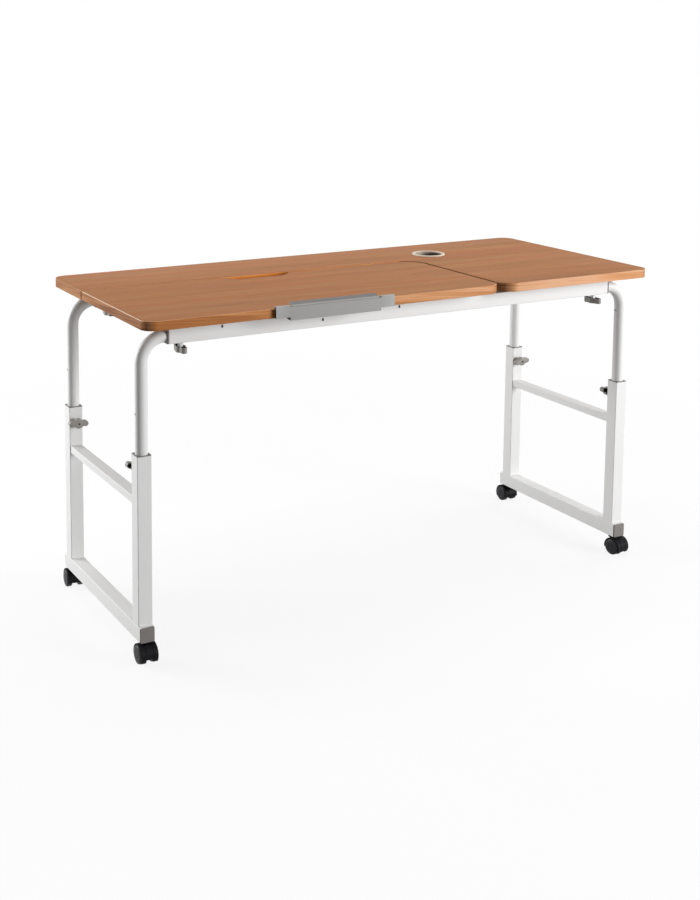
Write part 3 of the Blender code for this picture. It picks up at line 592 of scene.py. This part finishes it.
def tube(node, axis, wall, corner):
    """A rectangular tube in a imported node's box, rounded along its edges and open at both ends."""
    corner_segments, square_on = 4, 0.9
    low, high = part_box(node)
    bm = bmesh.new()
    shape = Matrix.Translation((low + high) / 2) @ Matrix.Diagonal((*(high - low), 1))
    bmesh.ops.create_cube(bm, size=1, matrix=shape)
    long_edges = [edge for edge in bm.edges
                  if abs(edge.verts[0].co[axis] - edge.verts[1].co[axis]) > wall]
    bmesh.ops.bevel(bm, geom=long_edges, offset=corner, offset_type="OFFSET",
                    segments=corner_segments, profile=0.5, affect="EDGES", material=-1)
    bm.normal_update()
    mouths = [face for face in bm.faces if abs(face.normal[axis]) > square_on]
    bmesh.ops.inset_region(bm, faces=mouths, thickness=wall, use_even_offset=True)
    rims = [edge for face in mouths for edge in face.edges]
    bmesh.ops.delete(bm, geom=mouths, context="FACES_ONLY")
    bmesh.ops.bridge_loops(bm, edges=rims)
    bmesh.ops.recalc_face_normals(bm, faces=list(bm.faces))
    return bm


white = finish("powder_coat", powder_coat, {"Specular IOR Level": 0.35})
tube_wall = 0.001
bar_wall = 0.0012
tube_corner = 0.0014
for row in ("front", "rear"):
    piece(row + "_rail_tube", tube(row + "_rail", 0, tube_wall, tube_corner), [white],
          "white_paint", "table_frame", row + "_rail")
for place in ("left", "middle", "right"):
    node = "cross_bar_" + place
    piece(node + "_tube", tube(node, 1, bar_wall, tube_corner), [white],
          "white_paint", "table_frame", node)


# Screws: narrow heads of blackened steel in the face of the front rail, and zinc-plated ones
# that hold the cross bars to the fixed board from below.
def zinc_plate(place):
    cloud = spots(place, (300, 300, 300), 3)
    return {
        "Base Color": between(cloud, (0.40, 0.40, 0.41), (0.62, 0.62, 0.60)),
        "Roughness": 0.28 + cloud * 0.2,
    }


# Blackened steel for the rail screws, also used as painted shade in the book stop's channel, on its
# lip and on the sides of the grey caps' rims.
def blackened_steel_and_shade(place):
    cloud = spots(place, (400, 400, 400), 3)
    return {
        "Base Color": between(cloud, (0.035, 0.032, 0.030), (0.075, 0.068, 0.062)),
        "Roughness": 0.35 + cloud * 0.2,
    }


def pan_head(place, facing, radius):
    """A screw head on a surface, with its socket to the outside."""
    flatness, head_steps = 0.7, 20
    profile = ((0, 0.30), (0.42, 0.30), (0.42, 0.86), (0.60, 0.84), (0.86, 0.62), (1, 0.24),
               (1, 0), (0, 0))
    sized = [(r * radius, h * radius * flatness) for r, h in profile]
    turn = Vector((0, 0, 1)).rotation_difference(Vector(facing)).to_matrix().to_4x4()
    return turned(sized, head_steps, Matrix.Translation(place) @ turn)


zinc = finish("zinc_plate", zinc_plate, {"Metallic": 0.9})
oxide_and_shade = finish("blackened_steel_and_shade", blackened_steel_and_shade, {"Metallic": 0.6})
rail_low, rail_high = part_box("front_rail")
rail_middle = (rail_low.z + rail_high.z) / 2
rail_head = 0.0030
rail_head_shape = (0.55, 1, 1.1)
rail_screws = ((-0.420, 0.009), (-0.200, 0.0), (-0.021, 0.009))
board_head = 0.004
board_screws = {"left": (0.110, 0.150), "middle": (0.110, 0.150), "right": (-0.13, 0.0, 0.13)}
for number, (x, rise) in enumerate(rail_screws, 1):
    seat = Vector((x, rail_low.y, rail_middle + rise))
    head = pan_head(seat, (0, -1, 0), rail_head)
    bmesh.ops.scale(head, vec=rail_head_shape, space=Matrix.Translation(-seat),
                    verts=list(head.verts))
    piece(f"rail_screw_{number}", head, [oxide_and_shade], "zinc_steel", "table_frame")
for place, spread in board_screws.items():
    bar_low, bar_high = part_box("cross_bar_" + place)
    for number, y in enumerate(spread, 1):
        seat = ((bar_low.x + bar_high.x) / 2, y, bar_low.z)
        head = pan_head(seat, (0, 0, -1), board_head)
        piece(f"board_screw_{place}_{number}", head, [zinc], "zinc_steel", "table_frame")


# Hinges: two zinc-plated butt hinges under the panel, one leaf with the pin on the front rail
# and the other on the board.
def welded(node, width):
    """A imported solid's own shape with its triangles joined and its sharp edges rounded over."""
    least_angle = 50
    bm = bmesh.new()
    bm.from_mesh(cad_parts[node].data)
    bmesh.ops.remove_doubles(bm, verts=list(bm.verts), dist=0.00001)
    bmesh.ops.dissolve_limit(bm, angle_limit=math.radians(1), use_dissolve_boundaries=False,
                             verts=list(bm.verts), edges=list(bm.edges))
    round_edges(bm, width, least_angle)
    return bm


sheet_round = 0.0003
for side in ("left", "right"):
    for leaf, body in (("hinge_rail_leaf_", "table_frame"), ("hinge_panel_leaf_", "tilt_panel")):
        node = leaf + side
        piece(node + "_steel", welded(node, sheet_round), [zinc], "zinc_steel", body, node)


# The book stop: a folded channel of grey-painted sheet on the panel's front edge, its apron turned
# back in a lip below the board; the lip and the channel's inside are painted black as shade. A
# leaning flap on a pin between its end tabs swings upright to hold a book.
def grey_sheet(place):
    brushed = spots(place, (25, 900, 900), 3)
    cloud = spots(place, (9, 40, 40), 2)
    x = place.node("SeparateXYZ", {}, {0: place}, "X")
    from_middle = x.maths("ABSOLUTE", x - stop_middle, 0.0)
    # painted light: the end tabs are painted a lighter, bluer grey than the sheet between them
    painted_tab_light = span(from_middle, 0.100, 0.134)
    sheet = between(brushed, (0.235, 0.230, 0.222), (0.290, 0.284, 0.275))
    return {
        "Base Color": between(painted_tab_light, sheet, (0.315, 0.318, 0.32)),
        "Roughness": 0.40 + cloud * 0.14,
        "Normal": relief(brushed, 0.00001),
    }


# The flap's sheet, painted a much darker grey than the bracket's as shade on its face.
def flap_sheet(place):
    brushed = spots(place, (25, 700, 700), 3)
    return {
        "Base Color": between(brushed, (0.090, 0.084, 0.078), (0.130, 0.123, 0.116)),
        "Roughness": 0.34 + brushed * 0.16,
        "Normal": relief(brushed, 0.00001),
    }


stop_low, stop_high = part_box("stop_bracket")
stop_middle = (stop_low.x + stop_high.x) / 2
sheet_thickness = 0.002
barrel_reach = 0.0023
barrel_y = stop_low.y + sheet_thickness + 0.0024
barrel_z = 0.6668
stop_paint = {"Metallic": 0.15, "Specular IOR Level": 0.35}
grey = finish("grey_sheet", grey_sheet, stop_paint)
dark_grey = finish("flap_sheet", flap_sheet, stop_paint)
lip_depth = 0.016
lip_height = 0.003
lip_inset = 0.001
lip_rise = 0.0002
inside_share = 0.95
facing_up = 0.9
apron_foot = 0.001
stop = welded("stop_bracket", sheet_round)
stop.normal_update()
# painted shade: the channel's inside faces, behind its front sheet and below the board's top, take
# the black finish
for face in stop.faces:
    x, y, z = face.calc_center_median()
    behind = y > stop_low.y + sheet_thickness * inside_share
    if behind and z < top_high.z and face.normal.z < facing_up:
        face.material_index = 1
apron = [vert.co.x for vert in stop.verts if vert.co.z < stop_low.z + apron_foot]
lip = Vector((max(apron) - min(apron) - 2 * lip_inset, lip_depth, lip_height))
lip_place = Vector((stop_middle, stop_low.y + sheet_thickness + lip_depth / 2,
                    stop_low.z + lip_height / 2 + lip_rise))
# The lip below the board, painted black as shade.
before = set(stop.faces)
bmesh.ops.create_cube(stop, size=1,
                      matrix=Matrix.Translation(lip_place) @ Matrix.Diagonal((*lip, 1)))
for face in set(stop.faces) - before:
    face.material_index = 1
piece("stop_bracket_sheet", stop, [grey, oxide_and_shade], "grey_stop", "tilt_panel", "stop_bracket")
flap = welded("book_stop_flap", sheet_round)
# painted highlight: the pin barrel keeps the bracket's lighter grey as a light line along the flap
for face in flap.faces:
    x, y, z = face.calc_center_median()
    if math.hypot(y - barrel_y, z - barrel_z) < barrel_reach:
        face.material_index = 1
piece("book_stop_flap_sheet", flap, [dark_grey, grey], "grey_stop", "book_stop", "book_stop_flap")


# Bushes and caps, moulded and pressed into the tube mouths: grey at the rail ends, the upright
# tops and the front of the bottom rails, and white at the rear of the bottom rails. The grey caps
# have the sides of their rims painted dark as shade.
def grey_plastic(place):
    grain = spots(place, (900, 900, 900), 2)
    cloud = spots(place, (30, 30, 30), 2)
    return {
        "Base Color": between(cloud, (0.178, 0.164, 0.156), (0.228, 0.212, 0.201)),
        "Roughness": 0.45 + cloud * 0.15,
        "Normal": relief(grain, 0.00002),
    }


def white_plastic(place):
    grain = spots(place, (900, 900, 900), 2)
    cloud = spots(place, (30, 30, 30), 2)
    return {
        "Base Color": between(cloud, (0.74, 0.74, 0.73), (0.80, 0.80, 0.79)),
        "Roughness": 0.42 + cloud * 0.15,
        "Normal": relief(grain, 0.00002),
    }


moulded_grey = finish("grey_plastic", grey_plastic, {"Specular IOR Level": 0.3})
moulded_white = finish("white_plastic", white_plastic, {"Specular IOR Level": 0.35})
bush_round = 0.0005
cap_round = 0.0006
shaded_cap_side = 0.6
for row in ("front", "rear"):
    for side in ("left", "right"):
        place = row + "_" + side
        for node, body in (("rail_bush_", "table_frame"), ("upright_bush_", side + "_base")):
            piece(node + place + "_moulded", welded(node + place, bush_round), [moulded_grey],
                  "dark_grey_plastic", body, node + place)
        cap = "rail_cap_" + place
        cap_finish = moulded_grey if row == "front" else moulded_white
        cap_slot = "dark_grey_plastic" if row == "front" else "white_plastic"
        moulding = welded(cap, cap_round)
        moulding.normal_update()
        # painted shade: the sides of a grey cap's rim take the black finish
        for face in moulding.faces:
            face.material_index = 1 if row == "front" and abs(face.normal.x) > shaded_cap_side else 0
        piece(cap + "_moulded", moulding, [cap_finish, oxide_and_shade], cap_slot, side + "_base", cap)


# The legs: one bent round steel tube at each corner, powder coated white, level in its rail and
# upright in its base, with an index hole on its inner side and a lower one on its outer side.
leg_radius = 0.01225
leg_wall = 0.0012
bend_radius = 0.048
inner_drop = 0.058
outer_drop = 0.142
index_radius = 0.002
index_steps = 16
leg_steps = 40
bend_steps = 20
patch_angle = 19


def leg(node, outward):
    """Ring, level run, bend and upright run, with the index holes cut before the wall is made."""
    low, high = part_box(node)
    y = (low.y + high.y) / 2
    rail_z = high.z - leg_radius
    upright_x = high.x - leg_radius if outward > 0 else low.x + leg_radius
    inner_x = low.x if outward > 0 else high.x
    bend_x = upright_x - outward * bend_radius
    bm = bmesh.new()
    face_x = Matrix.Translation((inner_x, y, rail_z)) @ Matrix.Rotation(math.pi / 2, 4, "Y")
    bmesh.ops.create_circle(bm, segments=leg_steps, radius=leg_radius, matrix=face_x)
    run = bmesh.ops.extrude_edge_only(bm, edges=list(bm.edges))
    bmesh.ops.translate(bm, vec=(bend_x - inner_x, 0, 0), verts=vertices(run))
    bend = bmesh.ops.spin(bm, geom=vertices(run) + edges(run),
                          cent=(bend_x, y, rail_z - bend_radius), axis=(0, 1, 0),
                          angle=outward * math.pi / 2, steps=bend_steps, use_duplicate=False)
    rim = edges(bend, "geom_last")
    half = 2 * index_radius
    levels = [rail_z - drop + step * half / 2
              for drop in (inner_drop, outer_drop) for step in (2, 1, 0, -1, -2)]
    for level in levels + [low.z]:
        run = bmesh.ops.extrude_edge_only(bm, edges=rim)
        bmesh.ops.translate(bm, vec=(0, 0, level - vertices(run)[0].co.z), verts=vertices(run))
        rim = edges(run)
    for drop, face_side in ((inner_drop, -outward), (outer_drop, outward)):
        centre = Vector((upright_x + face_side * leg_radius, y, rail_z - drop))
        reach = leg_radius * math.sin(math.radians(patch_angle))
        patch = [face for face in bm.faces
                 if abs(face.calc_center_median().z - centre.z) < half
                 and abs(face.calc_center_median().y - y) < reach
                 and (face.calc_center_median().x - upright_x) * face_side > 0]
        bmesh.ops.delete(bm, geom=patch, context="FACES")
        border = [edge for edge in bm.edges if edge.is_boundary
                  and abs(edge.verts[0].co.z - centre.z) < half * 1.01
                  and (edge.verts[0].co.x - upright_x) * face_side > 0]
        around = Matrix.Translation(centre) @ Matrix.Rotation(math.pi / 2, 4, "Y")
        hole = bmesh.ops.create_circle(bm, segments=index_steps, radius=index_radius,
                                       matrix=around)["verts"]
        for vert in hole:
            vert.co.x = upright_x + face_side * math.sqrt(leg_radius ** 2 - (vert.co.y - y) ** 2)
        hole_rim = list(dict.fromkeys(edge for vert in hole for edge in vert.link_edges))
        bmesh.ops.bridge_loops(bm, edges=border + hole_rim)
    bmesh.ops.recalc_face_normals(bm, faces=list(bm.faces))
    bmesh.ops.solidify(bm, geom=list(bm.faces), thickness=leg_wall)
    return bm


for row in ("front", "rear"):
    for side, outward in (("left", -1), ("right", 1)):
        node = f"leg_{row}_{side}"
        piece(node + "_tube", leg(node, outward), [white], "white_paint", side + "_legs", node,
              sharp=50)


# The base frames: on each side two uprights stand on a bottom rail, with a bar between them, all
# of square steel tube, welded and powder coated. The weld beads show at the feet and the bar.
def bead(bm, start, end, radius):
    """A row of overlapping drops of weld metal along a joint."""
    spacing, unevenness = 1.1, 0.12
    start, end = Vector(start), Vector(end)
    count = max(2, round((end - start).length / (radius * spacing)))
    for step in range(count + 1):
        place = start.lerp(end, step / count)
        size = radius * (1 + unevenness * math.sin(step * 2.4))
        bmesh.ops.create_icosphere(bm, subdivisions=2, radius=size, matrix=Matrix.Translation(place))


bead_radius = 0.0015
bar_bead_radius = 0.0012
foot_inset = 0.004
bar_inset = 0.003
for side in ("left", "right"):
    body = side + "_base"
    for node, axis, wall in (("bottom_rail_", 1, tube_wall), ("mid_bar_", 1, bar_wall),
                             ("upright_front_", 2, tube_wall), ("upright_rear_", 2, tube_wall)):
        piece(node + side + "_tube", tube(node + side, axis, wall, tube_corner), [white],
              "white_paint", body, node + side)
    welds = bmesh.new()
    bar_low, bar_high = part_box("mid_bar_" + side)
    for row in ("front", "rear"):
        foot_low, foot_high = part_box(f"upright_{row}_{side}")
        for y in (foot_low.y, foot_high.y):
            bead(welds, (foot_low.x + foot_inset, y, foot_low.z),
                 (foot_high.x - foot_inset, y, foot_low.z), bead_radius)
        bar_end = foot_high.y if row == "front" else foot_low.y
        for z in (bar_low.z, bar_high.z):
            bead(welds, (bar_low.x + bar_inset, bar_end, z),
                 (bar_high.x - bar_inset, bar_end, z), bar_bead_radius)
    piece(body + "_welds", welds, [white], "white_paint", body, sharp=180)


# Clamp knobs: a two-lobed grip of silver-grey plastic, hollow and black on the side of its steel
# screw. The screw runs through a nut that is welded to the tube and painted with it.
def knob_plastic(place):
    fine = spots(place, (1200, 1200, 1200), 2)
    cloud = spots(place, (60, 60, 60), 2)
    return {
        "Base Color": between(cloud, (0.225, 0.212, 0.197), (0.305, 0.289, 0.27)),
        "Roughness": 0.38 + cloud * 0.12,
        "Normal": relief(fine, 0.00001),
    }


def knob_hollow(place):
    fine = spots(place, (900, 900, 900), 2)
    return {
        "Base Color": between(fine, (0.010, 0.010, 0.010), (0.022, 0.021, 0.020)),
        "Roughness": 0.5 + fine * 0.2,
    }


silver_grey = finish("knob_plastic", knob_plastic, {"Specular IOR Level": 0.4})
black_core_and_shade = finish("knob_hollow", knob_hollow, {"Specular IOR Level": 0.2})
knob_hub = 0.0098
lobe_half = 0.0058
lobe_centre = 0.0148
lobe_blend = 10
outline_steps = 80
knob_low = 0.01045
knob_high = 0.02195
knob_edge = 0.0013
knob_wall = 0.0017
knob_depth = 0.008
knob_draft = 0.0002
knob_bore = 0.0021
screw_radius = 0.003
screw_length = 0.01945
nut_low = 0.00205
nut_high = 0.0128
leg_x = 0.5803
leg_y = 0.182
width_knob_x = 0.500
rail_z = 0.6196
height_knob_z = 0.367746
screw_tip = leg_radius + 0.0003


def knob_grip(place):
    """A two-lobed grip with a small hole, rounded over and hollowed towards its screw."""
    rim_fold, rim_depth, clear_of_bore, facing_down = 1.2, 0.001, 0.005, -0.9
    outline = []
    for step in range(outline_steps):
        angle = math.tau * (step + 0.5) / outline_steps
        across, up = abs(math.cos(angle)), abs(math.sin(angle))
        if lobe_half * across / up < lobe_centre:
            lobe = lobe_half / up
        else:
            lobe = lobe_centre * across + math.sqrt(lobe_half ** 2 - (lobe_centre * up) ** 2)
        radius = (knob_hub ** lobe_blend + lobe ** lobe_blend) ** (1 / lobe_blend)
        outline.append((radius * math.cos(angle), radius * math.sin(angle), 0))
    bm = flat_block(outline, knob_low, knob_high, [(0, 0, knob_bore)])
    outer_rim = [edge for edge in bm.edges if edge.calc_face_angle(0) > rim_fold
                 and edge.verts[0].co.xy.length > clear_of_bore
                 and all(vert.co.z > knob_high - rim_depth for vert in edge.verts)]
    bmesh.ops.bevel(bm, geom=outer_rim, offset=knob_edge, offset_type="OFFSET", segments=4,
                    profile=0.5, affect="EDGES", material=-1)
    bm.normal_update()
    mouth = [face for face in bm.faces if face.normal.z < facing_down]
    bmesh.ops.inset_region(bm, faces=mouth, thickness=knob_wall, use_boundary=True,
                           use_even_offset=True)
    walls = bmesh.ops.inset_region(bm, faces=mouth, thickness=knob_draft, depth=-knob_depth,
                                   use_boundary=True, use_even_offset=True)["faces"]
    # The small hole's walls are painted black too, as shade down the hole.
    bore_walls = [face for face in bm.faces
                  if all(vert.co.xy.length < knob_bore * 1.05 for vert in face.verts)]
    for face in mouth + walls + bore_walls:
        face.material_index = 1
    bmesh.ops.transform(bm, matrix=place, verts=list(bm.verts))
    return bm


def threaded(place):
    """The clamp screw, with its thread as close rings and its end painted black as shade seen down
    the knob's hole.
    """
    pitch, core_share, screw_steps, end_depth = 0.001, 0.86, 20, 0.0001
    profile = [(0, 0)]
    core = screw_radius * core_share
    for ring in range(round(screw_length / pitch)):
        profile += [(core, ring * pitch), (screw_radius, (ring + 0.5) * pitch)]
    profile += [(core, screw_length), (0, screw_length)]
    bm = turned(profile, screw_steps, Matrix())
    for face in bm.faces:
        at_end = face.calc_center_median().z > screw_length - end_depth
        face.material_index = 1 if at_end else 0
    bmesh.ops.transform(bm, matrix=place, verts=list(bm.verts))
    return bm


def weld_nut(place):
    """A hexagon nut with chamfered corners."""
    sides, corner, hole = 6, 0.0058, 0.0037
    profile = ((hole, nut_low), (corner, nut_low), (corner, nut_high - 0.0007),
               (corner - 0.0009, nut_high), (hole, nut_high), (hole, nut_low))
    return turned(profile, sides, place)


height_turns = {"front_left": 20, "front_right": 20, "rear_left": -2, "rear_right": 7}
width_turns = {"left": 88, "right": 78}
for row, back in (("front", -1), ("rear", 1)):
    for side, right in (("left", -1), ("right", 1)):
        corner = row + "_" + side
        at_upright = Matrix.Translation((right * leg_x, back * (leg_y - screw_tip), height_knob_z))
        at_upright = at_upright @ Matrix.Rotation(back * math.pi / 2, 4, "X")
        at_rail = Matrix.Translation((right * width_knob_x, back * leg_y, rail_z - screw_tip))
        at_rail = at_rail @ Matrix.Rotation(math.pi, 4, "X")
        for kind, seat, turn, holder in (
                ("height_knob_", at_upright, height_turns[corner], side + "_base"),
                ("width_knob_", at_rail, width_turns[side], "table_frame")):
            node = kind + corner
            place = seat @ Matrix.Rotation(math.radians(turn), 4, "Z")
            piece(node + "_grip", knob_grip(place), [silver_grey, black_core_and_shade], "knob_grey",
                  node, node)
            piece(node + "_screw", threaded(place), [zinc, black_core_and_shade], "zinc_steel", node)
            piece(node + "_nut", weld_nut(seat), [white], "white_paint", holder)


# Casters: a hood of black nylon over two black wheels on one axle. The hood swivels on a steel
# stem in the bottom rail, its skirts hang low in front and behind, and its middle is cut away.
def black_nylon(place):
    cloud = spots(place, (70, 70, 70), 2)
    grain = spots(place, (1100, 1100, 1100), 2)
    return {
        "Base Color": between(cloud, (0.003, 0.003, 0.004), (0.006, 0.006, 0.0075)),
        "Roughness": 0.40 + cloud * 0.2,
        "Normal": relief(grain, 0.00002),
    }


def wheel_nylon(place):
    scuff = spots(place, (160, 160, 160), 3)
    return {
        "Base Color": between(scuff, (0.0055, 0.0055, 0.0070), (0.011, 0.011, 0.0140)),
        "Roughness": 0.28 + scuff * 0.24,
        "Normal": relief(scuff, 0.00002),
    }


black = finish("black_nylon", black_nylon, {"Specular IOR Level": 0.09})
wheel_black = finish("wheel_nylon", wheel_nylon, {"Specular IOR Level": 0.20})
caster_y = 0.185
caster_turns = {"front_left": 0, "front_right": 8, "rear_left": 176, "rear_right": 178}
axle = Vector((0, -0.012, 0.017846))
hood_radius = 0.0208
hood_wall = 0.0018
hood_half = 0.0174
web_half = 0.0069
web_floor = 0.012
hood_start = -35
web_start = -14
hood_end = 193
boss_radius = 0.009
boss_low = 0.0355
boss_high = 0.041246
stem_radius = 0.004
stem_low = 0.040
stem_high = 0.0552
wheel_radius = 0.01784
wheel_width = 0.0123
wheel_start = 0.0072
wheel_steps = 48
skirt_steps = 40
web_steps = 48
stem_steps = 32


def skirt(bm, left, right, start, end):
    """A curved strip about the axle, from one angle to another over the top, rounded outside."""
    ease = 0.0009
    cut = ease * 0.3
    inner, outer = hood_radius - hood_wall, hood_radius
    section = ((left, inner), (left, outer - ease), (left + cut, outer - cut),
               (left + ease, outer), (right - ease, outer), (right - cut, outer - cut),
               (right, outer - ease), (right, inner))
    angle = math.radians(start)
    ring = [bm.verts.new(axle + Vector((x, -r * math.cos(angle), r * math.sin(angle))))
            for x, r in section]
    loop = [bm.edges.new((ring[index - 1], ring[index])) for index in range(len(ring))]
    swept = bmesh.ops.spin(bm, geom=ring + loop, cent=axle, axis=(-1, 0, 0),
                           angle=math.radians(end - start), steps=skirt_steps,
                           use_duplicate=False)
    bmesh.ops.contextual_create(bm, geom=loop)
    bmesh.ops.contextual_create(bm, geom=edges(swept, "geom_last"))


def caster_hood(place):
    """Skirts over both treads, the web between them, the boss under the rail and the stem."""
    bm = bmesh.new()
    skirt(bm, -hood_half, -web_half, hood_start, hood_end)
    skirt(bm, web_half, hood_half, hood_start, hood_end)
    skirt(bm, -web_half, web_half, web_start, hood_end)
    lying = Matrix.Translation(axle) @ Matrix.Rotation(math.pi / 2, 4, "Y")
    web = bmesh.new()
    web_radius = hood_radius - hood_wall / 2
    bmesh.ops.create_cone(web, cap_ends=True, segments=web_steps, radius1=web_radius,
                          radius2=web_radius, depth=2 * web_half, matrix=lying)
    cut = bmesh.ops.bisect_plane(web, geom=list(web.verts) + list(web.edges) + list(web.faces),
                                 plane_co=(0, 0, web_floor), plane_no=(0, 0, -1), clear_outer=True)
    bmesh.ops.contextual_create(web, geom=edges(cut, "geom_cut"))
    scrap = bpy.data.meshes.new("web")
    web.to_mesh(scrap)
    web.free()
    bm.from_mesh(scrap)
    bpy.data.meshes.remove(scrap)
    for radius, low, high in ((boss_radius, boss_low, boss_high), (stem_radius, stem_low, stem_high)):
        upright = Matrix.Translation((0, 0, (low + high) / 2))
        bmesh.ops.create_cone(bm, cap_ends=True, segments=stem_steps, radius1=radius,
                              radius2=radius, depth=high - low, matrix=upright)
    bmesh.ops.recalc_face_normals(bm, faces=list(bm.faces))
    bmesh.ops.transform(bm, matrix=place, verts=list(bm.verts))
    return bm


def caster_wheel(place):
    """A wheel with a domed outer face, a hub cap in a groove and a rounded tread."""
    w, r = wheel_width, wheel_radius
    profile = ((0, 0), (0.0158, 0), (r - 0.0006, 0.0005), (r, 0.0016), (r, w - 0.0034),
               (r - 0.0004, w - 0.0022), (r - 0.0012, w - 0.0012), (0.0150, w - 0.0006),
               (0.0100, w - 0.0002), (0.0072, w - 0.0001), (0.0069, w - 0.0007),
               (0.0063, w - 0.0007), (0.0060, w - 0.0001), (0.0030, w), (0, w))
    return turned(profile, wheel_steps, place)


for row, back in (("front", -1), ("rear", 1)):
    for side, right in (("left", -1), ("right", 1)):
        corner = row + "_" + side
        swivel = Matrix.Translation((right * leg_x, back * caster_y, 0))
        swivel = swivel @ Matrix.Rotation(math.radians(caster_turns[corner]), 4, "Z")
        piece("caster_hood_" + corner + "_moulded", caster_hood(swivel), [black], "black_plastic",
              "caster_" + corner, "caster_hood_" + corner)
        for mark, outward in (("a", -1), ("b", 1)):
            hub = swivel @ Matrix.Translation(axle + Vector((outward * wheel_start, 0, 0)))
            hub = hub @ Matrix.Rotation(outward * math.pi / 2, 4, "Y")
            node = f"caster_wheel_{corner}_{mark}"
            piece(node + "_moulded", caster_wheel(hub), [wheel_black], "black_plastic",
                  f"wheel_{corner}_{mark}", node)
